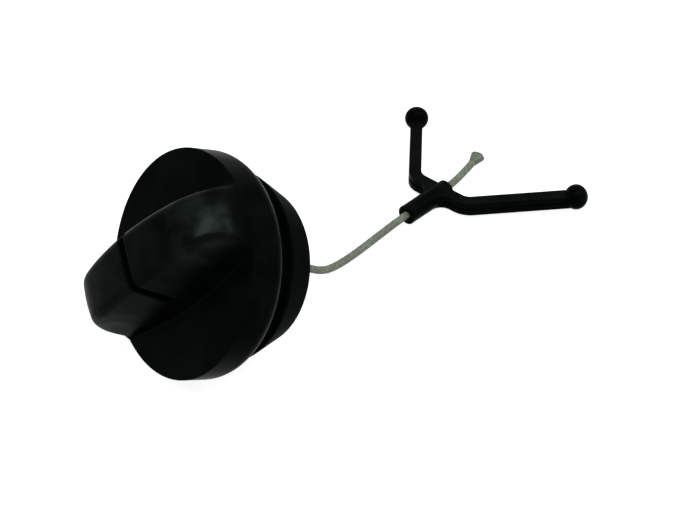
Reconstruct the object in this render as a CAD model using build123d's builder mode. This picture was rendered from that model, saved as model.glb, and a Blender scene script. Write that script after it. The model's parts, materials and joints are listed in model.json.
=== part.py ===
from build123d import *

import os
from math import asin, atan2, cos, degrees, hypot, pi, radians, sin, sqrt, tan

# A tethered fuel filler cap for hand-held power equipment. The cap lies on its side: the back of its
# rim and the end of its skirt touch the floor (Z = 0), and its axis leans by the angle that this gives.
# All lengths are in millimetres and all angles in degrees.
#
# Depths on the cap are measured along its axis from the flat floor of the knob: the finger fin stands
# in front of that floor (positive), and the rim, the skirt and the tether lie behind it (negative).

# ---- knob: rim and finger fin ----------------------------------------------------------------------
RIM_RADIUS = 24.5
RIM_DEPTH = 9.5
RIM_BACK_ROUND = 4.0
RIM_WALL = 5.6
WALL = 2.2
CREST_HEIGHT = 14.0
CREST_CURVE = 100.0
CREST_CORNER_START = 4.0
CREST_EDGE_ROUND = 2.4
FIN_TOP_HALF = 5.8
FIN_TOP_CURVE = 160.0
FIN_FOOT_HALF = 10.0
FIN_FOOT_CURVE = 100.0
FIN_FOOT_BEVEL = 0.4
FIN_ROLL = 34.2
SLOT_WIDTH = 2.1
SLOT_DEPTH = 9.2
SLOT_EDGE_ROUND = 0.3
SLOT_WALL = 2.0
FIN_CORE_HALF = 6.0
FIN_CORE_INSET = 8.4
FIN_CORE_TAPER = 6.0
FIN_CORE_ROUND = 1.5
FIN_CORE_ROOF = 5.6

# ---- screw sleeve: neck, collar, tapered skirt and web ----------------------------------------------
NECK_CLEARANCE = 0.2
NECK_WALL = 2.6
NECK_GAP = 3.55
COLLAR_LIP = 2.15
COLLAR_LAND = 0.5
COLLAR_EDGE_ROUND = 0.3
SKIRT_TAPER = 3.9
SKIRT_END_WALL = 2.2
SKIRT_LENGTH = 8.8
SKIRT_END_ROUND = 1.2
BORE_MOUTH_CHAMFER = 0.6
BORE_LENGTH = 11.8
WEB_THICKNESS = 2.4

# ---- gasket -----------------------------------------------------------------------------------------
GASKET_BAND = 4.25
GASKET_THICKNESS = 2.0
GASKET_CLEARANCE = 0.1
GASKET_EDGE_ROUND = 0.4

# ---- tether swivel ----------------------------------------------------------------------------------
STEM_RADIUS = 2.5
STEM_CLEARANCE = 0.08
STEM_END_PLAY = 0.15
HEAD_RADIUS = 4.6
HEAD_THICKNESS = 1.6
HEAD_EDGE_ROUND = 0.32
LIP_RADIUS = 3.4
LIP_THICKNESS = 1.4
LIP_CHAMFER = 0.5
NOSE_ROOT_RADIUS = 3.0
NOSE_END_RADIUS = 1.9
NOSE_LENGTH = 3.4

# ---- cord and its melted end ------------------------------------------------------------------------
CORD_RADIUS = 0.975
CORD_END_RADIUS = 1.75
CORD_END_TAPER = 2.4
CORD_END_LAND = 1.0
CORD_END_ROUND = 0.35

# ---- keeper: a sleeve on the cord with two spread arms that end in balls ------------------------------
KEEPER_REACH = 79.75
KEEPER_SIDE = 12.5
KEEPER_HEADING = 12.0
BALL_RADIUS = 3.2
BALL_HALF_LENGTH = 2.95
BALL_FORWARD = 22.8
BALL_SIDE = 26.3
BEND_FORWARD = 0.8
BEND_SIDE = 8.1
BEND_ROUND = 4.5
ARM_WIDTH = 3.2
ARM_HEIGHT = 3.5
ARM_GROOVE_HEIGHT = 0.8
ARM_GROOVE_DEPTH = 0.3
SLEEVE_RADIUS = 2.5
SLEEVE_BORE_RADIUS = 1.35
SLEEVE_BEHIND = 11.8
SLEEVE_AHEAD = 3.4
SLEEVE_FLOOR_GAP = 0.15
ROOT_ROUND = 3.0

# ---- how the cap rests ------------------------------------------------------------------------------
# Two rounded edges touch the floor: the back of the rim and the end of the skirt. The line that touches
# both of their circles gives the lean of the axis, and the lean gives the height of the knob's floor.
CAP_X = -4.283
neck_radius = RIM_RADIUS - RIM_WALL - NECK_CLEARANCE
collar_radius = neck_radius + COLLAR_LIP
skirt_end_radius = collar_radius - SKIRT_TAPER
bore_radius = skirt_end_radius - SKIRT_END_WALL
rim_round_depth = RIM_DEPTH - RIM_BACK_ROUND
rim_round_radius = RIM_RADIUS - RIM_BACK_ROUND
collar_depth = RIM_DEPTH + NECK_GAP
skirt_end_depth = collar_depth + SKIRT_LENGTH
skirt_angle = atan2(collar_radius - skirt_end_radius, SKIRT_LENGTH - COLLAR_LAND)
skirt_round_radius = skirt_end_radius - SKIRT_END_ROUND * (1 / cos(skirt_angle) - tan(skirt_angle))
contact_run = skirt_end_depth - SKIRT_END_ROUND - rim_round_depth
contact_drop = rim_round_radius - skirt_round_radius
round_difference = RIM_BACK_ROUND - SKIRT_END_ROUND
lean = atan2(contact_drop, contact_run) + asin(round_difference / hypot(contact_run, contact_drop))
cap_height = rim_round_depth * sin(lean) + rim_round_radius * cos(lean) + RIM_BACK_ROUND

# ---- the cap's own planes ---------------------------------------------------------------------------
# cap_plane lies on the knob's floor: its x runs along the fin, its y across it and its z out of the cap.
# section_plane holds the axis: its x is the radius and its y the depth along the axis.
roll = radians(FIN_ROLL)
axis_out = Vector(-cos(lean), 0, sin(lean))
fin_along = Vector(sin(lean), 0, cos(lean)) * cos(roll) + Vector(0, -1, 0) * sin(roll)
cap_plane = Plane(origin=(CAP_X, 0, cap_height), x_dir=fin_along, z_dir=axis_out)
section_plane = Plane(origin=cap_plane.origin, x_dir=fin_along, z_dir=cap_plane.y_dir * -1)
cap_axis = Axis(cap_plane.origin, axis_out)


def at_depth(depth):
    """The plane across the cap at a depth along its axis."""
    return cap_plane.offset(depth)


def depth_of(shape):
    """How far a shape's middle lies along the cap's axis."""
    return cap_plane.to_local_coords(shape.center()).Z


def middle_of(edge):
    """An edge's middle point, along the fin, across it and out of the cap."""
    return cap_plane.to_local_coords(edge @ 0.5)


# ---- grip: the moulded knob --------------------------------------------------------------------------
crest_centre = CREST_HEIGHT - CREST_CURVE
crest_corner = CREST_HEIGHT - CREST_CORNER_START
corner_centre = RIM_RADIUS - crest_corner
corner_depth = crest_centre + sqrt((CREST_CURVE - crest_corner) ** 2 - corner_centre**2)
corner_turn = atan2(corner_centre, corner_depth - crest_centre)
crest_end = (CREST_CURVE * sin(corner_turn), crest_centre + CREST_CURVE * cos(corner_turn))
beyond = 2.0
scoop_reach = RIM_RADIUS + beyond
foot_end = FIN_FOOT_HALF - FIN_FOOT_CURVE + sqrt(FIN_FOOT_CURVE**2 - scoop_reach**2)
top_half = FIN_TOP_HALF - (FIN_FOOT_HALF - FIN_TOP_HALF) * beyond / CREST_HEIGHT
top_end = top_half - FIN_TOP_CURVE + sqrt(FIN_TOP_CURVE**2 - scoop_reach**2)
slot_floor = CREST_HEIGHT - SLOT_DEPTH
core_start = SLOT_WIDTH / 2 + SLOT_WALL
core_height = CREST_HEIGHT + WALL - FIN_CORE_ROOF
core_end = RIM_RADIUS - FIN_CORE_INSET

# The scoop leaves one wall of the fin. The wall is bowed, and it leans in towards the crest.
with BuildPart() as scoop:
    for plane, middle, end, curve in (
        (cap_plane, FIN_FOOT_HALF, foot_end, FIN_FOOT_CURVE),
        (at_depth(CREST_HEIGHT + beyond), top_half, top_end, FIN_TOP_CURVE),
    ):
        with BuildSketch(plane):
            with BuildLine():
                RadiusArc((-scoop_reach, end), (scoop_reach, end), curve)
                Polyline((scoop_reach, end), (scoop_reach, scoop_reach), (-scoop_reach, scoop_reach), (-scoop_reach, end))
            make_face()
    loft(ruled=True)
    foot = scoop.edges().filter_by(lambda e: middle_of(e).Z < 0.01 and abs(middle_of(e).Y - FIN_FOOT_HALF) < 0.01)
    chamfer(foot, FIN_FOOT_BEVEL)

with BuildPart() as grip:
    # The envelope is a boxy dome that runs on into the rim.
    with BuildSketch(section_plane):
        with BuildLine():
            RadiusArc((0, CREST_HEIGHT), crest_end, CREST_CURVE)
            RadiusArc(crest_end, (RIM_RADIUS, corner_depth), crest_corner)
            Line((RIM_RADIUS, corner_depth), (RIM_RADIUS, -rim_round_depth))
            RadiusArc((RIM_RADIUS, -rim_round_depth), (rim_round_radius, -RIM_DEPTH), RIM_BACK_ROUND)
            Line((rim_round_radius, -RIM_DEPTH), (0, -RIM_DEPTH))
            Line((0, -RIM_DEPTH), (0, CREST_HEIGHT))
        make_face()
    revolve(axis=cap_axis)
    # A scoop on each side leaves the fin between them.
    add(scoop.part, mode=Mode.SUBTRACT)
    add(scoop.part.mirror(Plane(origin=cap_plane.origin, z_dir=cap_plane.y_dir)), mode=Mode.SUBTRACT)
    crest_edges = grip.edges().filter_by(lambda e: depth_of(e) > FIN_FOOT_BEVEL)
    fillet(crest_edges, CREST_EDGE_ROUND)
    # The slot across the fin.
    with BuildSketch(at_depth(slot_floor)):
        Rectangle(SLOT_WIDTH, 4 * FIN_FOOT_HALF)
    extrude(amount=2 * SLOT_DEPTH, mode=Mode.SUBTRACT)
    slot_walls = grip.faces().filter_by(Plane(origin=cap_plane.origin, z_dir=fin_along))
    lips = slot_walls.edges().filter_by(lambda e: depth_of(e) > slot_floor + 0.1)
    fillet(lips, SLOT_EDGE_ROUND)
    # The hollow underside, and a cored pocket in each half of the fin.
    with BuildSketch(at_depth(-RIM_DEPTH)):
        Circle(neck_radius + NECK_CLEARANCE)
    extrude(amount=RIM_DEPTH - WALL, mode=Mode.SUBTRACT)
    for side in (1, -1):
        with BuildSketch(at_depth(-WALL)):
            with Locations((side * (core_start + core_end) / 2, 0)):
                RectangleRounded(core_end - core_start, 2 * FIN_CORE_HALF, FIN_CORE_ROUND)
        extrude(amount=core_height, taper=FIN_CORE_TAPER, mode=Mode.SUBTRACT)
grip.part.label = "grip"

# ---- screw sleeve --------------------------------------------------------------------------------------
web_back = skirt_end_depth - BORE_LENGTH
web_front = web_back - WEB_THICKNESS
cup_radius = neck_radius - NECK_WALL
stem_hole_radius = STEM_RADIUS + STEM_CLEARANCE

with BuildPart() as screw_sleeve:
    with BuildSketch(section_plane):
        with BuildLine():
            Polyline(
                (cup_radius, -WALL),
                (neck_radius, -WALL),
                (neck_radius, -collar_depth),
                (collar_radius, -collar_depth),
                (collar_radius, -collar_depth - COLLAR_LAND),
                (skirt_end_radius, -skirt_end_depth),
                (bore_radius, -skirt_end_depth),
                (bore_radius, -web_back),
                (stem_hole_radius, -web_back),
                (stem_hole_radius, -web_front),
                (cup_radius, -web_front),
                close=True,
            )
        make_face()
    revolve(axis=cap_axis)
    rings = screw_sleeve.edges().filter_by(GeomType.CIRCLE)
    skirt_end = rings.filter_by(lambda e: abs(depth_of(e) + skirt_end_depth) < 0.01).sort_by(SortBy.RADIUS)
    fillet(skirt_end[-1], SKIRT_END_ROUND)
    rings = screw_sleeve.edges().filter_by(GeomType.CIRCLE)
    mouth = rings.filter_by(lambda e: abs(depth_of(e) + skirt_end_depth) < 0.01).sort_by(SortBy.RADIUS)
    chamfer(mouth[0], BORE_MOUTH_CHAMFER)
    collar = screw_sleeve.edges().filter_by(GeomType.CIRCLE).sort_by(SortBy.RADIUS)
    fillet(collar[-2:], COLLAR_EDGE_ROUND)
screw_sleeve.part.label = "screw_sleeve"

# ---- gasket: seats on the web, where the filler neck's edge presses ----------------------------------------
with BuildPart() as gasket:
    with BuildSketch(at_depth(-web_back)):
        Circle(bore_radius - GASKET_CLEARANCE)
        Circle(bore_radius - GASKET_CLEARANCE - GASKET_BAND, mode=Mode.SUBTRACT)
    extrude(amount=-GASKET_THICKNESS)
    back_rings = gasket.edges().filter_by(lambda e: depth_of(e) < -web_back - GASKET_THICKNESS / 2)
    fillet(back_rings.filter_by(GeomType.CIRCLE), GASKET_EDGE_ROUND)
gasket.part.label = "gasket"

# ---- tether swivel: turns in the web, so that the cord isn't wound up with the cap --------------------------
head_front = web_back + STEM_END_PLAY
head_back = head_front + HEAD_THICKNESS
nose_end = head_back + NOSE_LENGTH
lip_back = web_front - STEM_END_PLAY
lip_front = lip_back - LIP_THICKNESS

with BuildPart() as tether_swivel:
    with BuildSketch(section_plane):
        with BuildLine():
            Polyline(
                (0, -lip_front),
                (LIP_RADIUS - LIP_CHAMFER, -lip_front),
                (LIP_RADIUS, -lip_front - LIP_CHAMFER),
                (LIP_RADIUS, -lip_back),
                (STEM_RADIUS, -lip_back),
                (STEM_RADIUS, -head_front),
                (HEAD_RADIUS, -head_front),
                (HEAD_RADIUS, -head_back),
                (NOSE_ROOT_RADIUS, -head_back),
                (NOSE_END_RADIUS, -nose_end),
                (0, -nose_end),
                close=True,
            )
        make_face()
    revolve(axis=cap_axis)
    head_ring = tether_swivel.edges().filter_by(GeomType.CIRCLE).sort_by(SortBy.RADIUS)
    fillet(head_ring[-2:], HEAD_EDGE_ROUND)
tether_swivel.part.label = "tether_swivel"

# ---- keeper ---------------------------------------------------------------------------------------------
sleeve_height = SLEEVE_RADIUS + SLEEVE_FLOOR_GAP
heading = Vector(cos(radians(KEEPER_HEADING)), sin(radians(KEEPER_HEADING)), 0)
keeper_plane = Plane(origin=(CAP_X + KEEPER_REACH, KEEPER_SIDE, 0), x_dir=heading, z_dir=(0, 0, 1))
sleeve_back = keeper_plane.from_local_coords(Vector(-SLEEVE_BEHIND, 0, sleeve_height))
sleeve_plane = Plane(origin=sleeve_back, z_dir=heading)
sleeve_length = SLEEVE_BEHIND + SLEEVE_AHEAD
arm_bottom = sleeve_height - ARM_HEIGHT / 2
flange_height = (ARM_HEIGHT - ARM_GROOVE_HEIGHT) / 2
root_half = sqrt(SLEEVE_RADIUS**2 - (ARM_HEIGHT / 2) ** 2)
arm_spread = degrees(atan2(BALL_SIDE - BEND_SIDE, BALL_FORWARD - BEND_FORWARD))


def arm_outline(width):
    """Both arms and their rounded roots on the sleeve, seen from above."""
    with BuildSketch(mode=Mode.PRIVATE) as outline:
        with BuildLine():
            FilletPolyline(
                (BALL_FORWARD, BALL_SIDE),
                (BEND_FORWARD, BEND_SIDE),
                (BEND_FORWARD, -BEND_SIDE),
                (BALL_FORWARD, -BALL_SIDE),
                radius=BEND_ROUND,
            )
        trace(line_width=width)
        with Locations(((SLEEVE_AHEAD - SLEEVE_BEHIND) / 2, 0)):
            Rectangle(sleeve_length - 1, 2 * root_half)
        roots = outline.vertices().filter_by(lambda v: abs(abs(v.Y) - root_half) < 0.01)
        fillet(roots.filter_by(lambda v: 0 < BEND_FORWARD - v.X < ARM_WIDTH), ROOT_ROUND)
    return outline.sketch


with BuildPart() as keeper:
    for low, high, width in (
        (0, flange_height, ARM_WIDTH),
        (flange_height, ARM_HEIGHT - flange_height, ARM_WIDTH - 2 * ARM_GROOVE_DEPTH),
        (ARM_HEIGHT - flange_height, ARM_HEIGHT, ARM_WIDTH),
    ):
        with BuildSketch(keeper_plane.offset(arm_bottom + low)):
            add(arm_outline(width))
        extrude(amount=high - low)
    # Each arm ends in a ball that is a little shorter along the arm than it is across it.
    for side in (1, -1):
        ball_middle = keeper_plane.from_local_coords(Vector(BALL_FORWARD, side * BALL_SIDE, BALL_RADIUS))
        arm_heading = heading.rotate(Axis.Z, side * arm_spread)
        with BuildSketch(Plane(origin=ball_middle, x_dir=arm_heading, z_dir=(0, 0, 1))):
            Ellipse(BALL_HALF_LENGTH, BALL_RADIUS)
            with Locations((0, -BALL_RADIUS)):
                Rectangle(4 * BALL_RADIUS, 2 * BALL_RADIUS, mode=Mode.SUBTRACT)
        revolve(axis=Axis(ball_middle, arm_heading))
    with BuildSketch(sleeve_plane):
        Circle(SLEEVE_RADIUS)
    extrude(amount=sleeve_length)
    with BuildSketch(sleeve_plane):
        Circle(SLEEVE_BORE_RADIUS)
    extrude(amount=sleeve_length, mode=Mode.SUBTRACT)
keeper.part.label = "keeper"

# ---- cord -----------------------------------------------------------------------------------------------
# The route leaves the swivel along the cap's axis, sags to the floor, and runs through the keeper.
cord_exit = at_depth(-nose_end).origin
cord_lead = at_depth(-nose_end - 9.8).origin
cord_points = [
    cord_exit,
    cord_lead,
    (CAP_X + 31.2, 0.4, 9.6),
    (CAP_X + 37.5, 2.5, 3.9),
    (CAP_X + 43.4, 4.9, 1.05),
    (CAP_X + 50.4, 6.4, 1.02),
    (CAP_X + 57.8, 8.0, 1.7),
    (CAP_X + 66.4, 9.7, sleeve_height),
    (CAP_X + 84.2, 13.5, sleeve_height),
    (CAP_X + 92.5, 17.3, 1.86),
    (CAP_X + 96.8, 19.4, 1.81),
]
cord_points = [Vector(point) for point in cord_points]
cord_radii = []
for before, corner, after in zip(cord_points, cord_points[1:], cord_points[2:]):
    half_turn = radians((corner - before).get_angle(after - corner)) / 2
    shorter_run = min((corner - before).length, (after - corner).length)
    cord_radii.append(0.45 * shorter_run / tan(half_turn))
print("cord radii", [round(radius, 1) for radius in cord_radii])

with BuildPart() as tether_cord:
    with BuildLine() as route:
        FilletPolyline(*cord_points, radius=cord_radii)
    with BuildSketch(Plane(origin=route.wires()[0] @ 0, z_dir=route.wires()[0] % 0)):
        Circle(CORD_RADIUS)
    sweep()
tether_cord.part.label = "tether_cord"
cord_length = route.wires()[0].length
cord_volume = pi * CORD_RADIUS**2 * cord_length
print("cord length", round(cord_length, 2), "volume ratio", round(tether_cord.part.volume / cord_volume, 5))

end_direction = (cord_points[-1] - cord_points[-2]).normalized()
cord_end_plane = Plane(origin=cord_points[-1], x_dir=end_direction, z_dir=end_direction.cross(Vector(0, 0, 1)))
with BuildPart() as cord_end:
    with BuildSketch(cord_end_plane):
        with BuildLine():
            Polyline(
                (0, 0),
                (0, CORD_RADIUS),
                (CORD_END_TAPER, CORD_END_RADIUS),
                (CORD_END_TAPER + CORD_END_LAND, CORD_END_RADIUS),
                (CORD_END_TAPER + CORD_END_LAND, 0),
                close=True,
            )
        make_face()
    revolve(axis=Axis(cord_points[-1], end_direction))
    end_rings = cord_end.edges().filter_by(GeomType.CIRCLE).sort_by(SortBy.RADIUS)
    fillet(end_rings[-2:], CORD_END_ROUND)
cord_end.part.label = "cord_end"

# ---- files ----------------------------------------------------------------------------------------------
os.makedirs("parts", exist_ok=True)
export_step(grip.part, "parts/grip.step")
export_step(screw_sleeve.part, "parts/screw_sleeve.step")
export_step(gasket.part, "parts/gasket.step")
export_step(tether_swivel.part, "parts/tether_swivel.step")
export_step(tether_cord.part, "parts/tether_cord.step")
export_step(cord_end.part, "parts/cord_end.step")
export_step(keeper.part, "parts/keeper.step")
for piece in (grip, screw_sleeve, gasket, tether_swivel, tether_cord, cord_end, keeper):
    box = piece.part.bounding_box()
    print(piece.part.label, piece.part.is_valid, len(piece.part.solids()), round(piece.part.volume), box)
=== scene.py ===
"""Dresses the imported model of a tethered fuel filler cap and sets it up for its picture.

The cap lies on its side with its finger fin towards the left, and its braided cord runs over the floor
to a keeper with two ball-ended arms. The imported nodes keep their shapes: this script gives them their
finishes, and adds the braid, the melted cord end and the thread ridge inside the skirt.

All lengths are in metres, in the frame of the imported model.
"""

from __future__ import annotations

import json
import logging
import math
from dataclasses import dataclass
from enum import Enum
from typing import Iterable, Sequence

import bmesh
import bpy
from mathutils import Matrix, Vector, noise

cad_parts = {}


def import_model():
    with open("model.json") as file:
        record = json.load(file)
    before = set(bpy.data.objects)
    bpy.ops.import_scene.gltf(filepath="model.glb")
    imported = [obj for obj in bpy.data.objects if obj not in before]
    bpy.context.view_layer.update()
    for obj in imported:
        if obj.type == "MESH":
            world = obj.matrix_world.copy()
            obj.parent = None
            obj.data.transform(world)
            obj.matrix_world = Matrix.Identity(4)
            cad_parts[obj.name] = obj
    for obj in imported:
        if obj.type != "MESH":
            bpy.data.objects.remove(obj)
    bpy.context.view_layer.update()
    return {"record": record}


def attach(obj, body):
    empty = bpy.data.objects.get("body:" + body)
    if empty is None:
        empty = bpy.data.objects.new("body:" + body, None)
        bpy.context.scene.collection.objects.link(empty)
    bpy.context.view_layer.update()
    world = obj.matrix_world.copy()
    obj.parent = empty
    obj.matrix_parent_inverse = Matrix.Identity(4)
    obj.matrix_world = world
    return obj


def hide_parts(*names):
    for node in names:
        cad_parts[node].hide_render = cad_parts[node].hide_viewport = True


LOG = logging.getLogger("filler_cap")
MM = 0.001
UP = Vector((0.0, 0.0, 1.0))

Ring = list[bmesh.types.BMVert]


class Body(str, Enum):
    """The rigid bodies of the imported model."""

    TETHER = "tether"
    CAP = "cap"
    KEEPER = "keeper"


class Node(str, Enum):
    """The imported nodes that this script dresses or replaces."""

    GRIP = "grip"
    SLEEVE = "screw_sleeve"
    GASKET = "gasket"
    SWIVEL = "tether_swivel"
    CORD = "tether_cord"
    CORD_END = "cord_end"
    KEEPER = "keeper"


# ---- shader maths ---------------------------------------------------------------------------------


class Signal:
    """A shader socket that adds, multiplies and mixes like a number."""

    def __init__(self, net: "Network", socket: bpy.types.NodeSocket) -> None:
        """Wraps one output socket.

        Args:
            net: the network that the socket belongs to.
            socket: the output socket.
        """
        self.net = net
        self.socket = socket

    def _maths(self, operation: str, other: "Signal | float") -> "Signal":
        """Returns this value combined with another one by a Math node."""
        return self.net.node("ShaderNodeMath", {0: self, 1: other}, operation=operation)

    def __add__(self, other: "Signal | float") -> "Signal":
        """Returns the sum."""
        return self._maths("ADD", other)

    def __mul__(self, other: "Signal | float") -> "Signal":
        """Returns the product."""
        return self._maths("MULTIPLY", other)

    __radd__ = __add__
    __rmul__ = __mul__

    def larger(self, other: "Signal | float") -> "Signal":
        """Returns the larger of the two."""
        return self._maths("MAXIMUM", other)

    def ramp(self, low: float, high: float, to_low: float = 0.0, to_high: float = 1.0) -> "Signal":
        """Returns this value carried smoothly from one range to another.

        Args:
            low: the value that becomes to_low.
            high: the value that becomes to_high.
            to_low: the result at and below low.
            to_high: the result at and above high.

        Returns:
            The mapped value.
        """
        inputs = {"Value": self, "From Min": low, "From Max": high, "To Min": to_low, "To Max": to_high}
        return self.net.node("ShaderNodeMapRange", inputs, interpolation_type="SMOOTHSTEP")

    def tint(self, dark: Sequence[float], light: Sequence[float]) -> "Signal":
        """Returns a colour between two, by this value.

        Args:
            dark: the linear colour at 0.
            light: the linear colour at 1.

        Returns:
            The mixed colour.
        """
        inputs = {0: self, 6: (*dark, 1.0), 7: (*light, 1.0)}
        return self.net.node("ShaderNodeMix", inputs, 2, data_type="RGBA")


class Network:
    """The node tree of one material, with one method that makes every node."""

    def __init__(self, tree: bpy.types.NodeTree) -> None:
        """Empties a tree, ready for new nodes.

        Args:
            tree: the node tree to fill.
        """
        self.tree = tree
        tree.nodes.clear()

    def node(self, kind: str, inputs: dict, output: int | str = 0, **settings: object) -> Signal:
        """Adds a node, sets its properties and feeds its inputs.

        Args:
            kind: the node's type name.
            inputs: a value or a Signal for each input, by index or name.
            output: which output to return.
            **settings: properties of the node.

        Returns:
            The chosen output.
        """
        made = self.tree.nodes.new(kind)
        for name, value in settings.items():
            setattr(made, name, value)
        for key, value in inputs.items():
            if isinstance(value, Signal):
                self.tree.links.new(value.socket, made.inputs[key])
            else:
                made.inputs[key].default_value = value
        return Signal(self, made.outputs[output]) if made.outputs else Signal(self, None)

    def place(self) -> Signal:
        """Returns the object coordinates, which are the frame's own in metres."""
        return self.node("ShaderNodeTexCoord", {}, "Object")

    def backdrop_rays(self) -> Signal:
        """Returns 1 for the rays that look at the backdrop, directly or by way of a mirror or glass."""
        kinds = ("Camera", "Glossy", "Transmission")
        looks = [self.node("ShaderNodeLightPath", {}, f"Is {kind} Ray") for kind in kinds]
        return looks[0].larger(looks[1]).larger(looks[2])

    def grain(self, size: float, detail: float = 2.0, roughness: float = 0.5) -> Signal:
        """Returns noise with features of one size.

        Args:
            size: the size of a feature, in metres.
            detail: how many finer layers it has.
            roughness: how strong the finer layers are.

        Returns:
            A value about 0.5.
        """
        inputs = {"Vector": self.place(), "Scale": 1 / size, "Detail": detail, "Roughness": roughness}
        return self.node("ShaderNodeTexNoise", inputs, "Fac")

    def relief(self, height: Signal, depth: float) -> Signal:
        """Returns a normal that stands for small relief.

        Args:
            height: the relief, from 0 to 1.
            depth: the height of 1, in metres.

        Returns:
            The bumped normal.
        """
        return self.node("ShaderNodeBump", {"Height": height, "Distance": depth})


# ---- finishes ---------------------------------------------------------------------------------------


@dataclass(frozen=True)
class Finish:
    """What every finish shares: a name and a way to make its material."""

    name: str

    def material(self) -> bpy.types.Material:
        """Returns the material, made once."""
        made = bpy.data.materials.get(self.name)
        if made is None:
            made = bpy.data.materials.new(self.name)
            made.use_nodes = True
            net = Network(made.node_tree)
            surface = self.surface(net)
            net.node("ShaderNodeOutputMaterial", {"Surface": surface})
        return made

    def surface(self, net: Network) -> Signal:
        """Returns the finish's shader.

        Args:
            net: the network to build it in.
        """
        raise NotImplementedError


@dataclass(frozen=True)
class MouldedPlastic(Finish):
    """Dark moulded plastic: fine grain on slow waves, with a gloss and a colour that drift a little."""

    shadow: tuple[float, float, float] = (0.0008, 0.0013, 0.0013)
    bloom: tuple[float, float, float] = (0.0021, 0.0031, 0.0028)
    sheen: tuple[float, float, float] = (0.84, 1.0, 0.93)
    gloss: float = 0.28
    gloss_swing: float = 0.04
    reflectance: float = 0.0045
    grain_size: float = 0.22 * MM
    wave_size: float = 9.0 * MM
    relief_size: float = 3.5 * MM
    relief_depth: float = 0.045 * MM
    grain_share: float = 0.08
    grain_gloss: float = 0.02

    def surface(self, net: Network) -> Signal:
        """Returns the plastic's shader.

        Args:
            net: the network to build it in.
        """
        wave = net.grain(self.wave_size, 3.0)
        fine = net.grain(self.grain_size, 1.0)
        gloss = wave.ramp(0.3, 0.7, self.gloss - self.gloss_swing, self.gloss + self.gloss_swing)
        height = net.grain(self.relief_size, 1.0) + fine * self.grain_share
        inputs = {
            "Base Color": wave.ramp(0.35, 0.7).tint(self.shadow, self.bloom),
            "Roughness": gloss + fine.ramp(0.3, 0.7, -self.grain_gloss, self.grain_gloss),
            "Normal": net.relief(height, self.relief_depth),
            "Specular IOR Level": self.reflectance,
            "Specular Tint": (*self.sheen, 1.0),
        }
        return net.node("ShaderNodeBsdfPrincipled", inputs)


@dataclass(frozen=True)
class HandledPlastic(MouldedPlastic):
    """Moulded plastic that fingers have polished where it stands out, most of all at the fin's ends.

    The polish grows with the rise over the disc, from foot to crest, and with the distance from the
    knob's axis, from middle to end.
    """

    origin: tuple[float, float, float] = (0.0, 0.0, 0.0)
    axis: tuple[float, float, float] = (0.0, 0.0, 1.0)
    polished: MouldedPlastic = MouldedPlastic(
        "polished_finish",
        sheen=(0.68, 1.0, 0.88),
        gloss=0.30,
        reflectance=0.5,
        relief_size=5.0 * MM,
        relief_depth=0.12 * MM,
    )
    polish: float = 0.15
    patch_polish: float = 0.45
    middle_polish: float = 0.2
    foot: float = 2.0 * MM
    crest: float = 9.0 * MM
    middle: float = 12.0 * MM
    end: float = 20.0 * MM

    def surface(self, net: Network) -> Signal:
        """Returns the plastic's shader, with a share of polished plastic in it.

        Args:
            net: the network to build it in.
        """
        plain, rubbed = super().surface(net), self.polished.surface(net)
        return net.node("ShaderNodeMixShader", {0: self.wear(net), 1: plain, 2: rubbed})

    def wear(self, net: Network) -> Signal:
        """Returns the share of polished plastic, in patches.

        Args:
            net: the network to build it in.
        """
        arm = net.node("ShaderNodeVectorMath", {0: net.place(), 1: self.origin}, operation="SUBTRACT")
        rise = net.node("ShaderNodeVectorMath", {0: arm, 1: self.axis}, "Value", operation="DOT_PRODUCT")
        across = net.node("ShaderNodeVectorMath", {0: arm, 1: self.axis}, operation="CROSS_PRODUCT")
        reach = net.node("ShaderNodeVectorMath", {0: across}, "Value", operation="LENGTH")
        patches = net.grain(self.relief_size, 2.0).ramp(0.35, 0.6, self.patch_polish, 1.0)
        reached = reach.ramp(self.middle, self.end, self.middle_polish, 1.0)
        return rise.ramp(self.foot, self.crest) * reached * patches * self.polish


@dataclass(frozen=True)
class NitrileRubber(Finish):
    """Matt black rubber with a bloom of talc in its pores."""

    black: tuple[float, float, float] = (0.004, 0.004, 0.004)
    talc: tuple[float, float, float] = (0.013, 0.013, 0.012)
    pore_size: float = 0.4 * MM
    pore_depth: float = 0.02 * MM
    reflectance: float = 0.35

    def surface(self, net: Network) -> Signal:
        """Returns the rubber's shader.

        Args:
            net: the network to build it in.
        """
        pores = net.grain(self.pore_size, 2.0)
        inputs = {
            "Base Color": pores.ramp(0.45, 0.75).tint(self.black, self.talc),
            "Roughness": pores.ramp(0.3, 0.7, 0.62, 0.78),
            "Normal": net.relief(pores, self.pore_depth),
            "Specular IOR Level": self.reflectance,
        }
        return net.node("ShaderNodeBsdfPrincipled", inputs)


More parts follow.
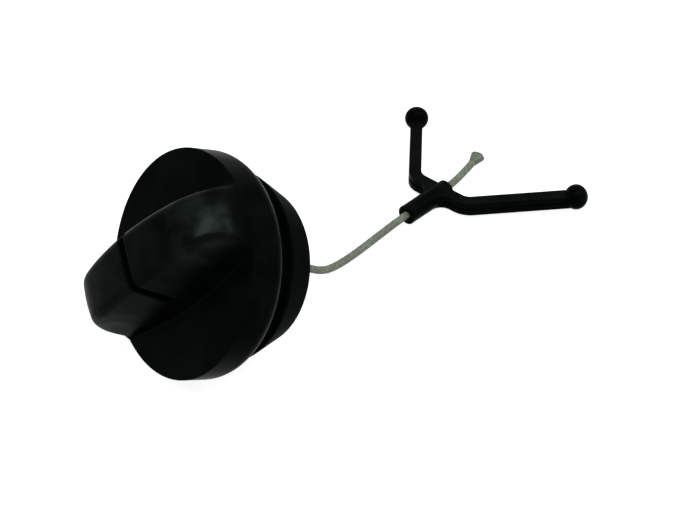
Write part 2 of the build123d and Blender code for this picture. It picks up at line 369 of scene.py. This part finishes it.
@dataclass(frozen=True)
class BraidYarn(Finish):
    """Polyamide yarn: each carrier of the braid has its own shade, and fine filaments run along it."""

    shade: str = "carrier_tone_and_core_painted_shade"
    dark: tuple[float, float, float] = (0.098, 0.118, 0.087)
    pale: tuple[float, float, float] = (0.215, 0.248, 0.188)
    carrier_share: float = 0.3
    filament_share: float = 0.45
    soil_share: float = 0.12
    soil_size: float = 3.0 * MM
    filament_depth: float = 0.03 * MM
    reflectance: float = 0.4

    def surface(self, net: Network) -> Signal:
        """Returns the yarn's shader.

        Args:
            net: the network to build it in.
        """
        # the core's value here is below every carrier's, so the core comes out at the dark colour: painted
        # shade in the gaps between the yarns
        carrier = net.node("ShaderNodeAttribute", {}, "Fac", attribute_name=self.shade)
        along = net.node("ShaderNodeUVMap", {}, 0, uv_map="yarn")
        inputs = {"Vector": along, "Scale": 1.0, "Detail": 2.0, "Roughness": 0.6}
        filaments = net.node("ShaderNodeTexNoise", inputs, "Fac")
        soil = net.grain(self.soil_size, 3.0).ramp(0.35, 0.7, -self.soil_share, self.soil_share)
        mix = carrier * self.carrier_share + filaments * self.filament_share + soil
        inputs = {
            "Base Color": mix.ramp(0.1, 0.9).tint(self.dark, self.pale),
            "Roughness": filaments.ramp(0.2, 0.8, 0.42, 0.62),
            "Normal": net.relief(filaments, self.filament_depth),
            "Specular IOR Level": self.reflectance,
        }
        return net.node("ShaderNodeBsdfPrincipled", inputs)


@dataclass(frozen=True)
class MeltedYarn(Finish):
    """Polyamide that was melted and pressed: darker than the yarn, and glassy in places."""

    dark: tuple[float, float, float] = (0.045, 0.056, 0.040)
    pale: tuple[float, float, float] = (0.108, 0.128, 0.092)
    flow_size: float = 0.9 * MM
    flow_depth: float = 0.05 * MM
    reflectance: float = 0.45

    def surface(self, net: Network) -> Signal:
        """Returns the melt's shader.

        Args:
            net: the network to build it in.
        """
        flow = net.grain(self.flow_size, 3.0, 0.6)
        inputs = {
            "Base Color": flow.ramp(0.3, 0.72).tint(self.dark, self.pale),
            "Roughness": flow.ramp(0.3, 0.7, 0.30, 0.55),
            "Normal": net.relief(flow, self.flow_depth),
            "Specular IOR Level": self.reflectance,
        }
        return net.node("ShaderNodeBsdfPrincipled", inputs)


@dataclass(frozen=True)
class StudioFloor(Finish):
    """A pale floor that reads as white, and keeps a little of the object's shadow."""

    tone: tuple[float, float, float] = (0.45, 0.45, 0.45)
    lift: float = 0.90

    def surface(self, net: Network) -> Signal:
        """Returns the floor's shader.

        Args:
            net: the network to build it in.
        """
        paint = net.node("ShaderNodeBsdfDiffuse", {"Color": (*self.tone, 1.0)})
        seen = net.backdrop_rays()
        white = net.node("ShaderNodeEmission", {"Color": (1.0, 1.0, 1.0, 1.0), "Strength": self.lift})
        nothing = net.node("ShaderNodeEmission", {"Strength": 0.0})
        glow = net.node("ShaderNodeMixShader", {0: seen, 1: nothing, 2: white})
        return net.node("ShaderNodeAddShader", {0: paint, 1: glow})


SLEEVE = MouldedPlastic("sleeve_finish", gloss=0.42, reflectance=0.001)
SWIVEL = MouldedPlastic("swivel_finish", gloss=0.30)
KEEPER = MouldedPlastic("keeper_finish", gloss=0.30, reflectance=0.008)
RUBBER = NitrileRubber("gasket_finish")
YARN = BraidYarn("braid_finish")
MELT = MeltedYarn("melt_finish")
FLOOR = StudioFloor("floor_finish")


# ---- helpers ------------------------------------------------------------------------------------------


def new_piece(name: str, mesh: bpy.types.Mesh, finish: Finish) -> bpy.types.Object:
    """Adds a finished mesh to the scene, at the origin.

    Args:
        name: the piece's name.
        mesh: its mesh, already in place.
        finish: its finish.

    Returns:
        The new object.
    """
    mesh.materials.clear()
    mesh.materials.append(finish.material())
    for polygon in mesh.polygons:
        polygon.use_smooth = True
    piece = bpy.data.objects.new(name, mesh)
    bpy.context.scene.collection.objects.link(piece)
    return piece


def dress(node: Node, finish: Finish) -> None:
    """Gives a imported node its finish, without touching its mesh.

    Args:
        node: which node.
        finish: its finish.
    """
    for holder in bpy.data.objects[node.value].material_slots:
        holder.material = finish.material()


def around(count: int) -> Iterable[float]:
    """Returns evenly spaced angles round a circle."""
    return (2 * math.pi * index / count for index in range(count))


# ---- the cap --------------------------------------------------------------------------------------------


@dataclass
class Cap:
    """The knob and its screw sleeve, with the thread ridge that a filler neck runs on."""

    origin: Vector
    axis: Vector
    bore_radius: float = 14.75 * MM
    ridge_height: float = 1.1 * MM
    ridge_foot: float = 1.9 * MM
    ridge_crest_share: float = 0.35
    ridge_sunk_share: float = 0.35
    ridge_fade: float = 0.06
    ridge_tip: float = 0.05
    ridge_pitch: float = 4.0 * MM
    ridge_turns: float = 1.6
    ridge_start: float = 20.75 * MM
    steps_a_turn: int = 72

    def build(self) -> None:
        """Dresses the nodes and adds the thread ridge."""
        dress(Node.GRIP, HandledPlastic("knob_finish", origin=tuple(self.origin), axis=tuple(self.axis)))
        dress(Node.SLEEVE, SLEEVE)
        dress(Node.GASKET, RUBBER)
        ridge = self.thread_ridge()
        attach(ridge, Body.CAP.value)
        LOG.info("cap dressed, thread ridge has %d faces", len(ridge.data.polygons))

    def ridge_tree(self) -> bpy.types.GeometryNodeTree:
        """Returns a Geometry Nodes tree that winds a tapered ridge round the Z axis."""
        tree = bpy.data.node_groups.new("thread_ridge", "GeometryNodeTree")
        shelf = tree.interface
        shelf.new_socket("Geometry", in_out="INPUT", socket_type="NodeSocketGeometry")
        for name in ("Radius", "Pitch", "Turns", "Height", "Foot"):
            shelf.new_socket(name, in_out="INPUT", socket_type="NodeSocketFloat")
        shelf.new_socket("Geometry", in_out="OUTPUT", socket_type="NodeSocketGeometry")
        nodes, links = tree.nodes, tree.links
        given = nodes.new("NodeGroupInput")
        result = nodes.new("NodeGroupOutput")
        climb = nodes.new("ShaderNodeMath")
        climb.operation = "MULTIPLY"
        spiral = nodes.new("GeometryNodeCurveSpiral")
        spiral.inputs["Resolution"].default_value = self.steps_a_turn
        upright = nodes.new("GeometryNodeSetCurveNormal")
        upright.mode = "Z_UP"
        section = nodes.new("GeometryNodeCurvePrimitiveQuadrilateral")
        section.mode = "TRAPEZOID"
        section.inputs["Offset"].default_value = 0.0
        stand = nodes.new("GeometryNodeTransform")
        stand.inputs["Rotation"].default_value = (0.0, 0.0, -math.radians(90))
        crest = nodes.new("ShaderNodeMath")
        crest.operation = "MULTIPLY"
        crest.inputs[1].default_value = self.ridge_crest_share
        along = nodes.new("GeometryNodeSplineParameter")
        fade = nodes.new("ShaderNodeFloatCurve")
        points = fade.mapping.curves[0].points
        points[0].location, points[1].location = (0.0, self.ridge_tip), (1.0, self.ridge_tip)
        points.new(self.ridge_fade, 1.0)
        points.new(1.0 - self.ridge_fade, 1.0)
        sweep = nodes.new("GeometryNodeCurveToMesh")
        sweep.inputs["Fill Caps"].default_value = True
        real = nodes.new("GeometryNodeRealizeInstances")
        coat = nodes.new("GeometryNodeSetMaterial")
        coat.inputs["Material"].default_value = SLEEVE.material()
        wires = (
            (given, "Pitch", climb, 0),
            (given, "Turns", climb, 1),
            (given, "Turns", spiral, "Rotations"),
            (given, "Radius", spiral, "Start Radius"),
            (given, "Radius", spiral, "End Radius"),
            (climb, 0, spiral, "Height"),
            (given, "Foot", section, "Bottom Width"),
            (given, "Foot", crest, 0),
            (crest, 0, section, "Top Width"),
            (given, "Height", section, "Height"),
            (along, "Factor", fade, "Value"),
            (fade, 0, sweep, "Scale"),
            (spiral, "Curve", upright, "Curve"),
            (upright, "Curve", sweep, "Curve"),
            (section, "Curve", stand, "Geometry"),
            (stand, "Geometry", sweep, "Profile Curve"),
            (sweep, "Mesh", real, "Geometry"),
            (real, "Geometry", coat, "Geometry"),
            (coat, "Geometry", result, "Geometry"),
        )
        for source, out, target, into in wires:
            links.new(source.outputs[out], target.inputs[into])
        return tree

    def thread_ridge(self) -> bpy.types.Object:
        """Returns the right-handed thread ridge, seated in the skirt's bore."""
        holder = bpy.data.objects.new("ridge_maker", bpy.data.meshes.new("ridge_maker"))
        bpy.context.scene.collection.objects.link(holder)
        tree = self.ridge_tree()
        maker = holder.modifiers.new("ridge", "NODES")
        maker.node_group = tree
        sizes = {
            "Radius": self.bore_radius - self.ridge_sunk_share * self.ridge_height,
            "Pitch": self.ridge_pitch,
            "Turns": self.ridge_turns,
            "Height": self.ridge_height,
            "Foot": self.ridge_foot,
        }
        for item in tree.interface.items_tree:
            if item.in_out == "INPUT" and item.name in sizes:
                maker[item.identifier] = sizes[item.name]
        bpy.context.view_layer.update()
        ready = holder.evaluated_get(bpy.context.evaluated_depsgraph_get())
        mesh = bpy.data.meshes.new_from_object(ready)
        bpy.data.objects.remove(holder)
        turn = UP.rotation_difference(self.axis).to_matrix().to_4x4()
        start = self.origin - self.axis * self.ridge_start
        mesh.transform(Matrix.Translation(start) @ turn)
        mesh.name = "thread_ridge"
        return new_piece("thread_ridge", mesh, SLEEVE)


# ---- the tether -------------------------------------------------------------------------------------------


@dataclass
class Tether:
    """The braided cord, its melted end, and the swivel that it leaves from."""

    route: tuple[tuple[float, float, float], ...] = (
        (9.364 * MM, 0.0, 18.134 * MM),
        (18.163 * MM, 0.0, 13.818 * MM),
        (26.917 * MM, 0.4 * MM, 9.6 * MM),
        (33.217 * MM, 2.5 * MM, 3.9 * MM),
        (39.117 * MM, 4.9 * MM, 1.05 * MM),
        (46.117 * MM, 6.4 * MM, 1.02 * MM),
        (53.517 * MM, 8.0 * MM, 1.7 * MM),
        (62.117 * MM, 9.7 * MM, 2.65 * MM),
        (79.917 * MM, 13.5 * MM, 2.65 * MM),
        (88.217 * MM, 17.3 * MM, 1.86 * MM),
        (92.517 * MM, 19.4 * MM, 1.81 * MM),
    )
    route_resolution: int = 48
    diameter: float = 1.95 * MM
    length: float = 90.7 * MM
    carriers: int = 8
    lay_length: float = 7.0 * MM
    yarn_width: float = 0.47 * MM
    yarn_thickness: float = 0.20 * MM
    yarn_sides: int = 6
    core_sides: int = 10
    # painted shade: the core's value, below every carrier's, colours the core dark to stand for the shade
    # between the yarns
    core_painted_shade: float = -0.6
    weave: float = 0.055 * MM
    step: float = 0.135 * MM
    filament_count: float = 1.7
    filament_stretch: float = 0.06
    pattern_shift: float = 3.1
    fan_width: float = 3.9 * MM
    fan_thickness: float = 2.6 * MM
    fan_length: float = 3.5 * MM
    fan_rings: int = 24
    fan_sides: int = 56
    blunt_rings: int = 3
    boxiness: float = 0.35
    lump_size: float = 0.8 * MM
    lump_height: float = 0.09 * MM
    lip_height: float = 0.35 * MM
    lip_waves: float = 1.4
    lip_seed: float = 4.0
    merge_distance: float = 0.004 * MM

    def build(self) -> None:
        """Dresses the swivel, and makes the braid and the melted end."""
        dress(Node.SWIVEL, SWIVEL)
        line = self.centre_line()
        braid = self.braid(line)
        melt = self.melted_end()
        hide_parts(Node.CORD.value)
        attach(braid, Body.TETHER.value)
        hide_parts(Node.CORD_END.value)
        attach(melt, Body.TETHER.value)
        LOG.info("cord has %d faces, melted end has %d", len(braid.data.polygons), len(melt.data.polygons))

    def centre_line(self) -> list[Vector]:
        """Returns points along the smooth route, read from its NURBS spline."""
        curve = bpy.data.curves.new("cord_route", "CURVE")
        curve.dimensions = "3D"
        curve.resolution_u = self.route_resolution
        spline = curve.splines.new("NURBS")
        spline.points.add(len(self.route) - 1)
        for point, place in zip(spline.points, self.route):
            point.co = (*place, 1.0)
        spline.order_u = 3
        spline.use_endpoint_u = True
        holder = bpy.data.objects.new("cord_route", curve)
        bpy.context.scene.collection.objects.link(holder)
        bpy.context.view_layer.update()
        ready = holder.evaluated_get(bpy.context.evaluated_depsgraph_get())
        mesh = bpy.data.meshes.new_from_object(ready)
        points = [vertex.co.copy() for vertex in mesh.vertices]
        bpy.data.objects.remove(holder)
        return self.even_steps(points)

    def even_steps(self, points: list[Vector]) -> list[Vector]:
        """Returns points one step apart along a line.

        Args:
            points: the points of the line.

        Returns:
            The resampled line, with the same two ends.
        """
        runs = [(after - before).length for before, after in zip(points, points[1:])]
        count = max(2, round(sum(runs) / self.step))
        even, walked, index = [points[0]], 0.0, 0
        for number in range(1, count):
            target = sum(runs) * number / count
            while walked + runs[index] < target:
                walked += runs[index]
                index += 1
            even.append(points[index].lerp(points[index + 1], (target - walked) / runs[index]))
        return even + [points[-1]]

    @staticmethod
    def travelling_frames(line: list[Vector]) -> list[tuple[Vector, Vector, Vector]]:
        """Returns a side, an up and a forward direction for each point, without twist.

        Args:
            line: the points of a smooth line.

        Returns:
            Three unit vectors for each point.
        """
        frames = []
        side = (line[1] - line[0]).cross(UP).normalized()
        for index, point in enumerate(line):
            ahead = line[min(index + 1, len(line) - 1)] - line[max(index - 1, 0)]
            ahead.normalize()
            side = (side - ahead * side.dot(ahead)).normalized()
            frames.append((side, ahead.cross(side), ahead))
        return frames

    def braid(self, line: list[Vector]) -> bpy.types.Object:
        """Returns the braided sleeve of the cord, with a core under it that is coloured dark, as painted
        shade in the gaps between the yarns.

        Args:
            line: the cord's centre line.

        Returns:
            The cord, one mesh.
        """
        form = bmesh.new()
        shade = form.verts.layers.float.new("carrier_tone_and_core_painted_shade")
        sheet = form.loops.layers.uv.new("yarn")
        frames = self.travelling_frames(line)
        mean_radius = self.diameter / 2 - self.yarn_thickness / 2 - self.weave
        for way in (1, -1):
            for carrier, start in enumerate(around(self.carriers)):
                tone = self.tone(carrier, way)
                rings = []
                for index, (point, (side, up, ahead)) in enumerate(zip(line, frames)):
                    gone = index * self.step
                    angle = start + way * 2 * math.pi * gone / self.lay_length
                    beat = math.cos(2 * math.pi * gone * self.carriers / self.lay_length)
                    out = side * math.cos(angle) + up * math.sin(angle)
                    across = out.cross(ahead) * way
                    lean = math.atan(2 * math.pi * mean_radius / self.lay_length)
                    wide = across * math.cos(lean) + ahead * math.sin(lean)
                    centre = point + out * (mean_radius + way * self.weave * beat)
                    rings.append(self.yarn_ring(form, centre, wide, out, tone, shade))
                self.skin(form, rings, sheet, carrier * self.pattern_shift + way)
        core = []
        for point, (side, up, _) in zip(line, frames):
            core.append(self.core_ring(form, point, side * mean_radius, up * mean_radius, shade))
        self.skin(form, core, sheet, 0.0)
        mesh = bpy.data.meshes.new("braided_cord")
        form.to_mesh(mesh)
        form.free()
        return new_piece("braided_cord", mesh, YARN)

    def tone(self, carrier: int, way: int) -> float:
        """Returns the shade of one carrier of the braid.

        Args:
            carrier: its number.
            way: the way it winds, 1 or -1.

        Returns:
            A shade from 0 to 1, unlike its neighbours'.
        """
        return 0.5 + 0.5 * math.sin(carrier * 2.4 + way * 1.3)

    def yarn_ring(
        self,
        form: bmesh.types.BMesh,
        centre: Vector,
        wide: Vector,
        out: Vector,
        tone: float,
        shade: bmesh.types.BMLayerItem,
    ) -> Ring:
        """Adds one flattened ring of a yarn.

        Args:
            form: the mesh under construction.
            centre: the ring's centre.
            wide: the direction of its width.
            out: the direction of its thickness.
            tone: the yarn's shade.
            shade: the layer that keeps the shade.

        Returns:
            The ring's vertices.
        """
        ring = []
        for angle in around(self.yarn_sides):
            across = wide * (math.cos(angle) * self.yarn_width / 2)
            vertex = form.verts.new(centre + across + out * (math.sin(angle) * self.yarn_thickness / 2))
            vertex[shade] = tone
            ring.append(vertex)
        return ring

    def core_ring(
        self,
        form: bmesh.types.BMesh,
        centre: Vector,
        side: Vector,
        up: Vector,
        shade: bmesh.types.BMLayerItem,
    ) -> Ring:
        """Adds one ring of the core under the braid, whose dark colour is painted shade for the gaps between
        the yarns.

        Args:
            form: the mesh under construction.
            centre: the ring's centre.
            side: its radius to the side.
            up: its radius upwards.
            shade: the layer that keeps the yarns' tone and the core's painted shade.

        Returns:
            The ring's vertices.
        """
        ring = []
        for angle in around(self.core_sides):
            vertex = form.verts.new(centre + side * math.cos(angle) + up * math.sin(angle))
            # painted shade: the core is set dark for the shade in the gaps between the yarns
            vertex[shade] = self.core_painted_shade
            ring.append(vertex)
        return ring

    def skin(
        self, form: bmesh.types.BMesh, rings: list[Ring], sheet: bmesh.types.BMLayerItem, offset: float
    ) -> None:
        """Joins rings into a closed tube with a yarn's own UV map.

        Args:
            form: the mesh under construction.
            rings: the rings, in order.
            sheet: the UV layer.
            offset: moves the pattern from yarn to yarn.
        """
        sides = len(rings[0])
        for row, (first, second) in enumerate(zip(rings, rings[1:])):
            for index in range(sides):
                after = (index + 1) % sides
                face = form.faces.new((first[index], first[after], second[after], second[index]))
                places = ((index, row), (index + 1, row), (index + 1, row + 1), (index, row + 1))
                for loop, (round_it, along) in zip(face.loops, places):
                    across = round_it * self.filament_count + offset
                    loop[sheet].uv = (across, along * self.filament_stretch)
        form.faces.new(reversed(rings[0]))
        form.faces.new(rings[-1])

    def melted_end(self) -> bpy.types.Object:
        """Returns the melted end: a fan that was pressed flat and cut off blunt, with an uneven rim."""
        form = bmesh.new()
        rings = [self.fan_ring(form, row) for row in range(self.fan_rings + 1)]
        for first, second in zip(rings, rings[1:]):
            for index in range(self.fan_sides):
                after = (index + 1) % self.fan_sides
                form.faces.new((first[index], first[after], second[after], second[index]))
        form.faces.new(reversed(rings[0]))
        bmesh.ops.remove_doubles(form, verts=form.verts, dist=self.merge_distance)
        bmesh.ops.recalc_face_normals(form, faces=form.faces)
        mesh = bpy.data.meshes.new("melted_end")
        form.to_mesh(mesh)
        form.free()
        return new_piece("melted_end", mesh, MELT)

    def fan_ring(self, form: bmesh.types.BMesh, row: int) -> Ring:
        """Adds one ring of the melted end: the first rings spread, and the last few close its blunt end.

        Args:
            form: the mesh under construction.
            row: the ring's number, from the cord outwards.

        Returns:
            The ring's vertices, which meet in one point in the last ring.
        """
        start = Vector(self.route[-1])
        ahead = (start - Vector(self.route[-2])).normalized()
        side = ahead.cross(UP).normalized()
        up = side.cross(ahead)
        spreading = self.fan_rings - self.blunt_rings
        spread = min(1.0, row / spreading)
        closing = max(0, row - spreading) / self.blunt_rings
        shut = math.sqrt(1 - closing**2)
        cord = self.diameter / 2
        width = cord + (self.fan_width / 2 - cord) * spread
        thickness = cord + (self.fan_thickness / 2 - cord) * spread
        ring = []
        for angle in around(self.fan_sides):
            boxed = math.copysign(abs(math.cos(angle)) ** (1 - self.boxiness * spread), math.cos(angle))
            flat = side * boxed * width + up * math.sin(angle) * thickness
            place = start + ahead * (self.fan_length * spread) + flat * shut
            lump = noise.noise(place / self.lump_size) * self.lump_height * spread
            rim = Vector((math.cos(angle), math.sin(angle), self.lip_seed)) * self.lip_waves
            lip = noise.noise(rim) * self.lip_height * spread
            ring.append(form.verts.new(place + (flat.normalized() * lump + ahead * lip) * shut))
        return ring


# ---- the studio -------------------------------------------------------------------------------------------


@dataclass(frozen=True)
class Lamp:
    """A soft box."""

    name: str
    place: tuple[float, float, float]
    target: tuple[float, float, float]
    size: tuple[float, float]
    power: float

    def build(self) -> None:
        """Hangs the soft box and points it."""
        light = bpy.data.lights.new(self.name, "AREA")
        light.shape = "RECTANGLE"
        light.size, light.size_y = self.size
        light.energy = self.power
        lamp = bpy.data.objects.new(self.name, light)
        lamp.location = self.place
        lamp.rotation_euler = (Vector(self.target) - Vector(self.place)).to_track_quat("-Z", "Y").to_euler()
        bpy.context.scene.collection.objects.link(lamp)


@dataclass(frozen=True)
class Studio:
    """The floor, the lamps, the world and the camera."""

    camera_place: tuple[float, float, float] = (-108.783 * MM, -206.1 * MM, 208.2 * MM)
    camera_heading: float = math.radians(35.25)
    camera_dip: float = math.radians(38.32)
    camera_roll: float = math.radians(0.48)
    lens: float = 73.81
    sensor: float = 36.0
    floor_half: float = 3.0
    ambient: float = 0.30
    lamps: tuple[Lamp, ...] = (
        Lamp("top_box", (-0.05, -0.29, 1.05), (0.0, 0.0, 0.02), (1.60, 0.38), 12.0),
        Lamp("right_box", (0.80, -0.48, 1.00), (0.0, 0.0, 0.02), (0.50, 0.40), 4.0),
        Lamp("back_strip", (0.80, 0.65, 0.22), (0.0, 0.0, 0.02), (0.50, 0.30), 0.3),
    )

    def build(self) -> None:
        """Sets up the whole studio."""
        self.lay_floor()
        for lamp in self.lamps:
            lamp.build()
        self.light_world()
        self.place_camera()
        bpy.context.scene.view_settings.view_transform = "Standard"

    def lay_floor(self) -> None:
        """Lays the floor at the level that the object lies on."""
        mesh = bpy.data.meshes.new("floor")
        half = self.floor_half
        corners = [(-half, -half, 0.0), (half, -half, 0.0), (half, half, 0.0), (-half, half, 0.0)]
        mesh.from_pydata(corners, [], [(0, 1, 2, 3)])
        mesh.materials.append(FLOOR.material())
        floor = bpy.data.objects.new("floor", mesh)
        bpy.context.scene.collection.objects.link(floor)

    def light_world(self) -> None:
        """Makes the world white where it is seen, and dim where it only lights."""
        world = bpy.data.worlds.new("studio_air")
        world.use_nodes = True
        bpy.context.scene.world = world
        net = Network(world.node_tree)
        seen = net.backdrop_rays()
        strength = seen * (1.0 - self.ambient) + self.ambient
        air = net.node("ShaderNodeBackground", {"Color": (1.0, 1.0, 1.0, 1.0), "Strength": strength})
        net.node("ShaderNodeOutputWorld", {"Surface": air})

    def place_camera(self) -> None:
        """Puts the camera at the viewing angle, with its small roll."""
        dip, heading = self.camera_dip, self.camera_heading
        ahead = Vector((math.sin(heading) * math.cos(dip), math.cos(heading) * math.cos(dip), -math.sin(dip)))
        level = ahead.cross(UP).normalized()
        above = level.cross(ahead)
        right = level * math.cos(self.camera_roll) + above * math.sin(self.camera_roll)
        upward = right.cross(ahead)
        lens = bpy.data.cameras.new("camera")
        lens.lens = self.lens
        lens.sensor_width = self.sensor
        lens.clip_start = 0.01
        camera = bpy.data.objects.new("camera", lens)
        turn = Matrix((right, upward, -ahead)).transposed().to_4x4()
        camera.matrix_world = Matrix.Translation(Vector(self.camera_place)) @ turn
        bpy.context.scene.collection.objects.link(camera)
        bpy.context.scene.camera = camera


def main() -> None:
    """Builds the scene, piece by piece."""
    logging.basicConfig(level=logging.INFO, format="%(name)s: %(message)s")
    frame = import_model()
    turn = frame["record"]["behaviour"]["joints"][0]
    Studio().build()
    Tether().build()
    Cap(Vector(turn["pos_m"]), Vector(turn["axis"]).normalized()).build()
    dress(Node.KEEPER, KEEPER)


if __name__ == "__main__":
    main()
